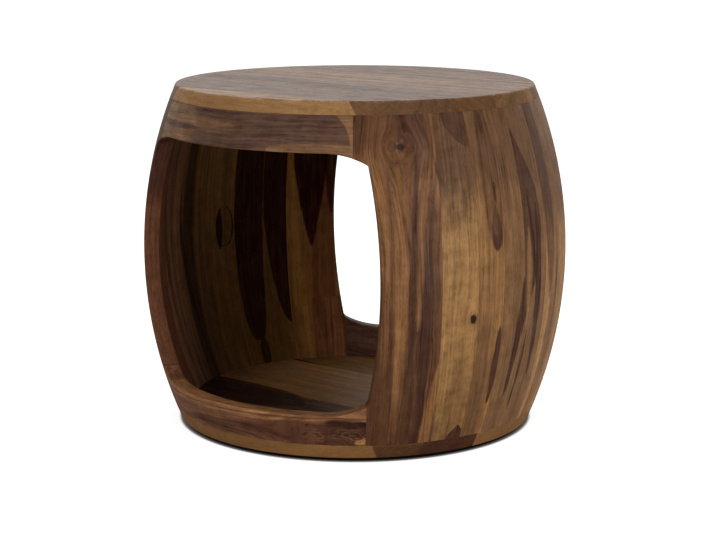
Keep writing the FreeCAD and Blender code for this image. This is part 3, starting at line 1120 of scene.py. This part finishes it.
@dataclass
class Round:
    """A round of edge-glued planks, the top or the base, with the barrel's curve as its rim."""

    barrel: Barrel
    name: str
    slot: str
    low: float
    high: float
    seams: tuple[float, ...]
    upper_ease: float
    lower_ease: float
    seam_ease: float = 0.25
    segments: int = 256
    rises: int = 4
    timbers: dict[str, Timber] = field(default_factory=dict)

    def build(self) -> None:
        """Builds every plank, front to rear."""
        edges = (-self.barrel.belly, *self.seams, self.barrel.belly)
        for number, (front, rear) in enumerate(zip(edges[:-1], edges[1:]), start=1):
            node = f"{self.name}_{number}"
            mesh = self.blank()
            self.sawn(mesh, front, -1.0)
            self.sawn(mesh, rear, 1.0)
            self.lay_grain(mesh, (front + rear) / 2)
            publish(mesh, node, self.timbers[node].material(f"{node}_wood"))

    def blank(self) -> Mesh:
        """The whole round, drawn up ring by ring from a circle."""
        mesh = bmesh.new()
        foot = self.barrel.outer(self.low)
        bmesh.ops.create_circle(mesh, cap_ends=False, radius=foot, segments=self.segments)
        bmesh.ops.translate(mesh, verts=list(mesh.verts), vec=(0.0, 0.0, self.low))
        lower = list(mesh.edges)
        ring = lower
        for index in range(1, self.rises + 1):
            made = bmesh.ops.extrude_edge_only(mesh, edges=ring)
            verts = only(bmesh.types.BMVert, made["geom"])
            ring = only(bmesh.types.BMEdge, made["geom"])
            height = self.low + (self.high - self.low) * index / self.rises
            grow = self.barrel.outer(height) / verts[0].co.xy.length
            bmesh.ops.scale(mesh, vec=(grow, grow, 1.0), verts=verts)
            for vert in verts:
                vert.co.z = height
        bmesh.ops.contextual_create(mesh, geom=lower)
        bmesh.ops.contextual_create(mesh, geom=ring)
        bmesh.ops.recalc_face_normals(mesh, faces=list(mesh.faces))
        eased(mesh, [edge for edge in ring if edge.is_valid], self.upper_ease, ARRIS_SEGMENTS)
        low_rim = [e for e in mesh.edges if all(abs(v.co.z - self.low) < LEVEL_SNAP for v in e.verts)]
        eased(mesh, low_rim, self.lower_ease, RIM_SEGMENTS)
        return mesh

    def sawn(self, mesh: Mesh, place: float, side: float) -> None:
        """Saws the round along X at a distance behind the axis, and eases the cut's edges.

        Args:
            mesh: The round, or what is left of it.
            place: Where the saw goes.
            side: 1 to throw away what lies behind it, -1 what lies in front.
        """
        geometry = [*mesh.verts, *mesh.edges, *mesh.faces]
        made = bmesh.ops.bisect_plane(
            mesh, geom=geometry, dist=SAW_SNAP, plane_co=(0.0, place, 0.0), plane_no=(0.0, side, 0.0),
            clear_outer=True,
        )
        cut = only(bmesh.types.BMEdge, made["geom_cut"])
        if cut:
            bmesh.ops.contextual_create(mesh, geom=cut)
            bmesh.ops.recalc_face_normals(mesh, faces=list(mesh.faces))
            eased(mesh, cut, self.seam_ease, SEAM_SEGMENTS)

    def lay_grain(self, mesh: Mesh, middle: float) -> None:
        """Keeps each point's place on the plank as its grain, and puts the plank in metres."""
        grain = mesh.verts.layers.float_vector.new(GRAIN)
        for vert in mesh.verts:
            vert[grain] = (vert.co.y - middle, vert.co.x, self.high - vert.co.z)
        bmesh.ops.scale(mesh, vec=(MM, MM, MM), verts=list(mesh.verts))


@dataclass
class Glides:
    """The round glides under the base, each turned with an eased foot and a sunk hole for its nail."""

    ring: float = 205.0
    count: int = 4
    radius: float = 12.0
    height: float = 5.0
    hole: float = 4.05
    sink: float = 2.7
    nail: float = 1.15
    hole_ease: float = 0.2
    ease: float = 1.0
    segments: int = 48

    def build(self, finish: Plastic) -> None:
        """Builds all glides as one piece."""
        mesh = bmesh.new()
        for index in range(self.count):
            turn = math.radians(360.0 / self.count * (index + 0.5))
            self.turn_one(mesh, Vector((self.ring * math.sin(turn), -self.ring * math.cos(turn), 0.0)))
        bmesh.ops.scale(mesh, vec=(MM, MM, MM), verts=list(mesh.verts))
        publish(mesh, "floor_glides", finish.material("glide_plastic"))

    def turn_one(self, mesh: Mesh, seat: Vector) -> None:
        """Turns one glide from its profile.

        Args:
            mesh: The mesh that it joins.
            seat: Centre of its foot.
        """
        bow = self.ease * (1 - math.sqrt(0.5))
        profile = (
            (self.nail, self.sink), (self.hole, self.sink), (self.hole, self.hole_ease),
            (self.hole + self.hole_ease, 0.0),
            (self.radius - self.ease, 0.0), (self.radius - bow, bow), (self.radius, self.ease),
            (self.radius, self.height), (self.nail, self.height),
        )
        verts = [mesh.verts.new(seat + Vector((reach, 0.0, height))) for reach, height in profile]
        edges = [mesh.edges.new(pair) for pair in zip(verts, verts[1:] + verts[:1])]
        bmesh.ops.spin(
            mesh, geom=verts + edges, cent=seat, axis=(0.0, 0.0, 1.0), dvec=(0.0, 0.0, 0.0),
            angle=math.tau, steps=self.segments, use_merge=True, use_duplicate=False,
        )


@dataclass(frozen=True)
class Lamp:
    """A soft square lamp that faces the table's middle, in metres and watts."""

    name: str
    place: tuple[float, float, float]
    size: float
    power: float
    aim: tuple[float, float, float] = (0.0, 0.0, 0.25)

    def hang(self) -> None:
        """Hangs the lamp in the scene."""
        data = bpy.data.lights.new(self.name, "AREA")
        data.shape = "RECTANGLE"
        data.size = self.size
        data.size_y = self.size
        data.energy = self.power
        lamp = bpy.data.objects.new(self.name, data)
        lamp.location = self.place
        lamp.rotation_euler = (Vector(self.aim) - Vector(self.place)).to_track_quat("-Z", "Y").to_euler()
        bpy.context.scene.collection.objects.link(lamp)


LAMPS = (
    Lamp("key", (2.55, -0.4, 0.62), size=1.2, power=29.0),
    Lamp("overhead", (-0.5, 0.6, 2.6), size=2.0, power=18.0),
    Lamp("fill", (0.05, -2.8, 0.95), size=1.2, power=23.5),
)


@dataclass
class Studio:
    """White floor, soft light and the photograph's viewpoint, in metres and degrees."""

    azimuth: float = 37.7
    distance: float = 2.6427
    side_step: float = 0.0044
    height: float = 0.7346
    pitch: float = 11.33
    lens: float = 96.52
    sensor: float = 36.0
    farthest: float = 100.0
    floor_radius: float = 12.0
    shadow_room: float = 0.35
    world_light: float = 0.13

    def build(self) -> None:
        """Sets up the camera, the floor, the world and the lamps."""
        bpy.context.scene.view_settings.view_transform = "Standard"
        self.camera()
        self.floor()
        self.world()
        for lamp in LAMPS:
            lamp.hang()

    def camera(self) -> None:
        """Puts the camera where the photograph was taken from."""
        turn = math.radians(self.azimuth)
        right = Vector((math.cos(turn), math.sin(turn), 0.0))
        away = Vector((-math.sin(turn), math.cos(turn), 0.0))
        data = bpy.data.cameras.new("viewpoint")
        data.lens = self.lens
        data.sensor_width = self.sensor
        data.clip_end = self.farthest
        camera = bpy.data.objects.new("viewpoint", data)
        camera.location = right * self.side_step - away * self.distance + Vector((0.0, 0.0, self.height))
        camera.rotation_euler = (math.pi / 2 - math.radians(self.pitch), 0.0, turn)
        bpy.context.scene.collection.objects.link(camera)
        bpy.context.scene.camera = camera

    def floor(self) -> None:
        """Lays a plain white floor that keeps the table's shadow."""
        mesh = bmesh.new()
        bmesh.ops.create_circle(mesh, cap_ends=True, radius=self.floor_radius, segments=64)
        data = bpy.data.meshes.new("floor")
        mesh.to_mesh(data)
        mesh.free()
        data.materials.append(self.floor_white())
        piece = bpy.data.objects.new("floor", data)
        bpy.context.scene.collection.objects.link(piece)

    def floor_white(self) -> bpy.types.Material:
        """Makes the floor white to look at, with a dark patch under the table for its shadow."""
        sheet = NodeSheet("floor_white")
        sheet.dress("Roughness", 0.9)
        sheet.dress("Specular IOR Level", 0.0)
        sheet.dress("Emission Color", (1.0, 1.0, 1.0))
        path = sheet.tree.nodes.new("ShaderNodeLightPath")
        length = sheet.tree.nodes.new("ShaderNodeVectorMath")
        length.operation = "LENGTH"
        sheet.put(length.inputs[0], sheet.place())
        far, near, lit = (
            sheet.step(length.outputs["Value"], low * self.shadow_room, high * self.shadow_room)
            for low, high in ((1, 2.5), (0.7, 0.715), (0.68, 0.71))
        )
        glow = sheet.fit(far, 0.2, sheet.times(near, 0.8))
        sheet.dress("Base Color", sheet.mix(lit, (0.03, 0.03, 0.03), (0.9, 0.9, 0.9)))
        sheet.dress("Emission Strength", sheet.times(path.outputs["Is Camera Ray"], glow))
        return sheet.material

    def world(self) -> None:
        """Makes the surroundings white to look at and soft grey as light."""
        world = bpy.data.worlds.new("studio")
        world.use_nodes = True
        bpy.context.scene.world = world
        tree = world.node_tree
        background = next(n for n in tree.nodes if n.type == "BACKGROUND")
        path = tree.nodes.new("ShaderNodeLightPath")
        seen = path.outputs["Is Camera Ray"]
        for name in ("Is Glossy Ray", "Is Transmission Ray"):
            either = tree.nodes.new("ShaderNodeMath")
            either.operation = "MAXIMUM"
            tree.links.new(seen, either.inputs[0])
            tree.links.new(path.outputs[name], either.inputs[1])
            seen = either.outputs[0]
        level = tree.nodes.new("ShaderNodeMapRange")
        level.inputs["To Min"].default_value = self.world_light
        tree.links.new(seen, level.inputs["Value"])
        tree.links.new(level.outputs["Result"], background.inputs["Strength"])
        background.inputs["Color"].default_value = (1.0, 1.0, 1.0, 1.0)


BROWN = Tone.BROWN
PALE = Tone.PALE
GOLDEN = Timber(
    tint(156, 112, 66), tint(102, 70, 46), tint(63, 34, 24), seed=0, contrast=0.6, crown=0.85,
)
RUSSET = replace(
    GOLDEN, pale=tint(130, 87, 51), brown=tint(88, 54, 34), heart=tint(62, 35, 25), heart_share=0.3,
    contrast=0.9, crown=0, figure=1.8, vein=0.25,
)
OLIVE = replace(
    GOLDEN, pale=tint(124, 88, 44), brown=tint(92, 60, 28), heart=tint(47, 17, 12), crown=0, figure=0.9,
    vein=0.06, fleck=0.2,
)
TOP = replace(
    GOLDEN, pale=tint(140, 102, 64), brown=tint(92, 64, 42), heart_share=0.15, contrast=1, crown=0, band=10,
    gloss=0.38, sheen=0.175, glow=(1.0, 0.94, 0.87), end_dark=0.22, dull_from=0.5, dull_to=2, figure=2.4,
    vein=0.3, fleck=0.4,
)

# The right wall's staves, front to rear
RIGHT_STAVES = (
    replace(
        RUSSET, pale=tint(137, 94, 57), seed=1.7, pith_across=-70, sway=30, heart_share=0.25, crown=0.85,
        crown_low=365, crown_high=430,
        knots=(
            Knot(8, 410, 34, stretch=1.3, ring=0.3, dark=0.6, core=0),
            Knot(7, 414, 20, stretch=0.55, ring=0.15, dark=0.4, core=0.9, light=0),
        ),
        flames=(
            Flame(-260, 200, -24, 60, tone=BROWN, strength=0.85, soft=10),
            Flame(412, 540, 10, 13, lean=4, blunt=0.3, strength=0.6, soft=4),
            Flame(366, 420, 59.5, 5, lean=-9, strength=0.9, soft=2, sway=2),
            Flame(402, 472, 55, 5, lean=-33, strength=0.9, soft=2, sway=2),
            Flame(388, 450, 44, 5, lean=-26, tone=PALE, strength=0.6, soft=2.5),
            Flame(282, 362, 15, 5, lean=-15, strength=0.75, soft=2, sway=3),
            Flame(288, 374, 15, 6, lean=21, strength=0.8, soft=2, sway=3),
            Flame(215, 352, 8, 6, lean=-12, tone=PALE, strength=0.7, soft=2.5),
            Flame(372, 560, 32, 44, lean=-12, strength=0.55, soft=6, sway=12),
            Flame(395, 560, -46, 26, strength=0.45, soft=6, sway=12),
            Flame(120, 400, -19, 18, lean=-4, tone=PALE, strength=0.8, soft=5),
            Flame(40, 262, -24, 36, tone=BROWN, strength=0.6, soft=6),
            Flame(-80, 420, -50, 12, lean=6, tone=PALE, strength=0.5, soft=5),
            Flame(20, 395, 4, 15, lean=-2, tone=PALE, strength=0.9, soft=4),
            Flame(60, 390, -8, 6, lean=-2, strength=0.6, soft=2.5),
            Flame(-200, 385, 46, 34, strength=0.6, soft=6, sway=12),
            Flame(60, 320, 36, 17, strength=0.85, soft=4, sway=8),
            Flame(120, 400, 14, 13, lean=10, strength=0.8, soft=3, sway=10),
            Flame(-150, 200, 22, 42, strength=0.75, soft=6, sway=12),
            Flame(180, 385, 25, 9, lean=8, tone=PALE, strength=0.6, soft=3),
            Flame(385, 520, 52, 14, tone=PALE, strength=0.5, soft=4),
            Flame(-120, 150, 66, 52, tone=PALE, strength=1, soft=2),
        ),
    ),
    replace(
        GOLDEN, pale=tint(164, 121, 72), brown=tint(92, 63, 41), seed=9.1, heart_share=0, contrast=0.35,
        crown=0.95, crown_low=270, crown_high=380, pith_across=150, figure=1.2, curl=0.9, vein=0.05,
        knots=(Knot(20, 191, 13, stretch=1.3, ring=0.12, dark=0.9, light=0.1),),
        flames=(
            Flame(411, 500, 24, 72, strength=0.6, rim=0.4),
            Flame(4, 44, 14, 28, lean=5, blunt=1.3, strength=1, rim=0.6),
            Flame(-160, 170, 4, 30, tone=BROWN, strength=0.5, soft=8),
            Flame(-80, 120, -26, 16, lean=-4, tone=BROWN, soft=5),
        ),
    ),
    replace(
        GOLDEN, seed=14.9, heart_share=0, contrast=0.5, pith_across=-140,
        flames=(
            Flame(277, 480, 9.5, 28, lean=-4, fullest=0.42, strength=0.35, rim=0.5, soft=2.4),
            Flame(274, 336, 10, 17, fullest=0.42, blunt=1, strength=0.9, soft=1.6),
            Flame(294, 420, 8, 11, tone=BROWN, strength=0.75, soft=2),
            Flame(424, 454, 5, 9, strength=0.8, soft=2),
            Flame(334, 364, 13, 3.5, lean=-2, strength=1),
            Flame(68, 176, 15, 12, lean=4, strength=0.95, rim=0.4),
            Flame(-120, 200, -8, 36, tone=BROWN, strength=0.65, soft=8),
        ),
    ),
    replace(
        GOLDEN, pale=tint(140, 102, 66), seed=22.3, heart_share=0, pith_across=110,
        flames=(
            Flame(70, 236, 5, 11, lean=15, strength=0.95, rim=0.3),
            Flame(300, 420, -8, 8, tone=BROWN, soft=3),
        ),
    ),
    replace(
        GOLDEN, pale=tint(140, 102, 66), seed=31.1, heart_share=0.05, pith_across=90,
        flames=(
            Flame(150, 428, -27, 80, fullest=0.55, blunt=1.4, strength=0.8, rim=0.5, soft=2),
            Flame(95, 330, 8, 13, lean=-4, strength=0.95, rim=0.4),
            Flame(165, 300, -15, 12, lean=-2, tone=PALE, strength=0.85, soft=2),
            Flame(230, 340, -2, 4, lean=-12, strength=1, rim=0.6),
            Flame(50, 160, -22, 6, lean=8, strength=0.9),
        ),
    ),
    replace(
        GOLDEN, pale=tint(176, 130, 84), seed=38.7, heart_share=0.06, contrast=0.8, band=9, pith_across=70,
        crown_low=240, crown_high=330,
        flames=(
            Flame(190, 560, -8, 34, lean=-8, strength=0.7, soft=4),
            Flame(60, 300, 12, 7, lean=4, strength=0.7, soft=2),
        ),
    ),
    replace(
        GOLDEN, pale=tint(180, 134, 88), seed=47.3, heart_share=0.1, band=8, pith_across=40, tilt=0.1,
        crown_low=240, crown_high=330,
    ),
    replace(
        RUSSET, seed=55.1, pith_across=60, sway=30,
        knots=(Knot(-12, 250, 20, ring=0.25, core=0.4),),
        flames=(
            Flame(-100, 330, 26, 18, tone=PALE, strength=0.75, soft=5),
            Flame(60, 520, -30, 22, lean=-8, strength=0.7, soft=4),
        ),
    ),
)

# The left wall's staves, front to rear
LEFT_STAVES = (
    replace(
        RUSSET, pale=tint(113, 70, 46), brown=tint(92, 56, 39), seed=61.9, pith_across=90, sheen=0.1,
        heart_share=0.12, contrast=0.6, figure=0.7, vein=0.1,
        flames=(
            Flame(-120, 260, -8, 26, lean=10, strength=0.5, soft=5),
            # Painted shade: the upper part beside the opening, under the lintel, darkened as a heartwood
            # flame
            Flame(300, 640, 36, 56, blunt=0.5, strength=0.8, soft=10, sway=10),
        ),
    ),
    replace(
        RUSSET, pale=tint(144, 101, 68), brown=tint(104, 68, 48), seed=70.7, heart_share=0.35, figure=1.2,
        flames=(Flame(-100, 600, -14, 16, tone=PALE, strength=0.5, soft=4),),
    ),
    replace(OLIVE, seed=79.3, heart_share=0.2, flames=(Flame(-300, 620, -3, 32, strength=0.75, soft=4),)),
    replace(
        OLIVE, pale=tint(140, 100, 54), seed=86.9, heart_share=0.02, contrast=0.5, pith_across=160,
        flames=(
            Flame(203, 264, -24, 36, blunt=0.5, strength=0.15, rim=1, sway=2),
            Flame(200, 262, -13, 13, strength=1, rim=0.6, sway=2),
            Flame(-60, 300, 34, 12, strength=0.4, soft=4),
        ),
    ),
    replace(
        OLIVE, seed=93.7, heart_share=0.05,
        flames=(
            Flame(58, 640, 2, 56, fullest=0.35, blunt=0.45, strength=0.95, rim=0.3),
            Flame(20, 60, -6, 18, blunt=0.4, strength=0.9),
        ),
    ),
    replace(
        OLIVE, heart=tint(42, 13, 10), seed=101.3, heart_share=0.02,
        flames=(Flame(78, 700, -22, 70, lean=30, fullest=0.4, blunt=0.6, strength=0.95, rim=0.3),),
    ),
    replace(
        OLIVE, pale=tint(158, 110, 54), brown=tint(112, 67, 40), seed=108.1, heart_share=0.04,
        pith_across=120,
        flames=(
            Flame(-100, 360, -4, 40, blunt=0.35, tone=BROWN, soft=4),
            Flame(186, 620, 16, 70, lean=8, fullest=0.55, blunt=0.8, strength=1, rim=0.2),
            Flame(240, 640, -18, 40, strength=0.85, soft=4, sway=9),
        ),
    ),
)

# The foot block and the rails, by node
RAILS = {
    "left_stave_foot": replace(
        RUSSET, pale=tint(136, 87, 54), brown=tint(103, 61, 39), seed=116.3, heart_share=0.05,
    ),
    "front_lintel": replace(
        RUSSET, pale=tint(142, 104, 70), brown=tint(104, 74, 52), heart=tint(77, 53, 48), seed=123.9,
        heart_share=0.16, pith_across=470, sheen=0.1,
        flames=(
            Flame(-420, 188, 400, 158, fullest=0.75, blunt=0.35, strength=0.8, sway=3),
            Flame(-420, 52, 433, 36, tone=BROWN, strength=0.9, rim=0.25, soft=2),
            Flame(-420, 8, 434, 22, tone=PALE, strength=0.45, soft=2.5, sway=8),
            Flame(-420, -72, 430, 64, blunt=0.4, tone=PALE, strength=0.55, soft=8),
            Flame(-205, -60, 425, 8, strength=0.8, soft=1.5, sway=8),
            Flame(-150, -10, 441, 6, strength=0.6, soft=2, sway=8),
            Flame(-420, -70, 411, 14, tone=PALE, strength=0.7, soft=2, sway=6),
            Flame(66, 240, 408, 17, blunt=0.3, tone=PALE, strength=0.75, soft=1.5, sway=2),
        ),
    ),
    "rear_lintel": replace(RUSSET, seed=131.7, pith_across=470, pale=tint(140, 100, 66)),
    "front_sill": replace(
        RUSSET, pale=tint(180, 127, 80), brown=tint(110, 70, 50), heart=tint(54, 28, 23), seed=139.1,
        heart_share=0.12, pith_across=90, sheen=0.1,
        knots=(
            Knot(41, 132, 30, dark=0.9, stretch=2.2, ring=0.17, core=0, light=0.3, wander=7),
            Knot(40, 186, 38, dark=1, stretch=2.3, ring=0.12, core=0, light=0.25, wander=8),
        ),
        flames=(
            Flame(20, 320, 38, 34, blunt=0.2, tone=BROWN, strength=0.9, soft=2),
            Flame(90, 330, 37, 36, blunt=0.3, strength=0.68, soft=3, fray=3),
            Flame(-420, -168, 56, 60, blunt=0.3, tone=BROWN, strength=0.9, soft=6),
            Flame(-330, 150, 38, 36, blunt=0.6, tone=BROWN, strength=0.8, soft=3, sway=9),
            Flame(-120, 96, 35, 17, strength=0.6, soft=2.5, sway=9, fray=3),
            Flame(-60, 100, 31, 8, tone=BROWN, strength=0.7, soft=2, sway=9),
            Flame(-300, 260, 60, 3, blunt=0.2, tone=BROWN, soft=1, sway=3),
            Flame(150, 290, 51, 8, blunt=0.4, strength=1, soft=2, sway=6, fray=3),
            Flame(193, 222, 32, 8, tone=PALE, strength=1, soft=1.5),
        ),
    ),
    "rear_sill": replace(
        RUSSET, pale=tint(98, 68, 52), brown=tint(74, 49, 39), seed=147.7, heart_share=0.4, pith_across=90,
    ),
}

# The top's planks, front to rear
TOP_PLANKS = (
    replace(TOP, pale=tint(178, 134, 88), brown=tint(150, 110, 71), pith_across=60, heart_share=0),
    replace(TOP, pale=tint(130, 94, 65), brown=tint(92, 66, 47), pith_across=-110),
    replace(
        TOP, pale=tint(136, 96, 62), brown=tint(90, 61, 41), pith_across=90, heart_share=0.05,
        flames=(
            Flame(-420, 60, 14, 34, lean=-10, strength=0.75, soft=3, sway=14, fray=3),
            Flame(-60, 236, -18, 26, lean=8, strength=0.7, soft=3, sway=14, fray=3),
        ),
    ),
    replace(TOP, pale=tint(156, 114, 74), pith_across=-80, heart_share=0.05),
    replace(
        TOP, pale=tint(160, 116, 72), brown=tint(108, 74, 48), pith_across=130,
        flames=(
            Flame(-520, 560, -34, 30, tone=PALE, soft=3, sway=14, fray=3),
            Flame(-420, 240, 22, 22, strength=0.75, soft=3, sway=14, fray=3),
        ),
    ),
    replace(TOP, pale=tint(134, 92, 56), brown=tint(88, 58, 38), pith_across=-60),
)

# The base's planks, front to rear
BASE_PLANKS = (
    replace(GOLDEN, flames=(Flame(171, 420, 0, 260, blunt=0.15, strength=0.75, sway=1, fray=0.3),)),
    replace(
        RUSSET, pale=tint(98, 62, 42), brown=tint(70, 43, 31), heart=tint(36, 18, 12), heart_share=0.1,
        flames=(Flame(-420, -20, 6, 130, strength=0.9, soft=3, sway=10),),
    ),
    replace(
        OLIVE, pale=tint(166, 120, 74), brown=tint(128, 88, 52),
        flames=(
            Flame(-330, -50, -44, 42, strength=0.95, soft=3, sway=10),
            Flame(-60, 130, -48, 22, lean=-16, strength=0.6, soft=2),
        ),
    ),
    replace(GOLDEN, pale=tint(172, 126, 78), brown=tint(128, 90, 58)),
    OLIVE,
    RUSSET,
)


def numbered(name: str, timbers: Sequence[Timber]) -> dict[str, Timber]:
    """The wood of each board of a row, by node."""
    return {f"{name}_{number}": timber for number, timber in enumerate(timbers, start=1)}


def wall_timbers() -> dict[str, Timber]:
    """The wood of each stave and rail, by node."""
    return numbered("right_stave", RIGHT_STAVES) | numbered("left_stave", LEFT_STAVES) | RAILS


def top_timbers() -> dict[str, Timber]:
    """The wood of each plank of the top, by node."""
    cut = [replace(wood, seed=155.0 + 6.1 * number) for number, wood in enumerate(TOP_PLANKS, start=1)]
    return numbered("top_plank", cut)


def base_timbers() -> dict[str, Timber]:
    """The wood of each plank of the base, by node."""
    dull = [
        replace(wood, crown=0, pith_across=-80, end_dark=0.25, sheen=0.08, glow=(1.0, 0.86, 0.72))
        for wood in BASE_PLANKS
    ]
    cut = [replace(wood, seed=201.0 + 7.3 * number) for number, wood in enumerate(dull, start=1)]
    return numbered("base_plank", cut)


def dress_hidden() -> None:
    """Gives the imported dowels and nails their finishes."""
    wood = Dowel().material("dowel_wood")
    steel = Steel().material("nail_steel")
    finishes = {name: wood for name in ("top_dowels", "base_dowels", "lintel_dowels", "sill_dowels")}
    finishes["glide_nails"] = steel
    for name, finish in finishes.items():
        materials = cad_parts[name].data.materials
        materials.clear()
        materials.append(finish)
        log.info("%s: dressed", name)


def main() -> None:
    """Builds the studio and every piece of the table, in order."""
    logging.basicConfig(level=logging.INFO, format="%(name)s %(message)s")
    low, high = CAD_BOX
    glide_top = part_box("base_plank_3")[0].z / MM
    wall_low, wall_high = (corner.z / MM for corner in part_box("right_stave_3"))
    barrel = Barrel(bottom=glide_top, top=high[2] / MM, belly=(high[0] - low[0]) / 2 / MM)
    opening = Opening(belly=barrel.belly)
    Studio().build()
    Wall(barrel, opening, wall_low, wall_high, timbers=wall_timbers()).build()
    Round(
        barrel, "top_plank", "top_wood", wall_high, barrel.top, TOP_SEAMS,
        upper_ease=1.5, lower_ease=0.5, timbers=top_timbers(),
    ).build()
    Round(
        barrel, "base_plank", "base_wood", barrel.bottom, wall_low, BASE_SEAMS,
        upper_ease=0.3, lower_ease=1.0, timbers=base_timbers(),
    ).build()
    Glides().build(Plastic())
    dress_hidden()


if __name__ == "__main__":
    main()
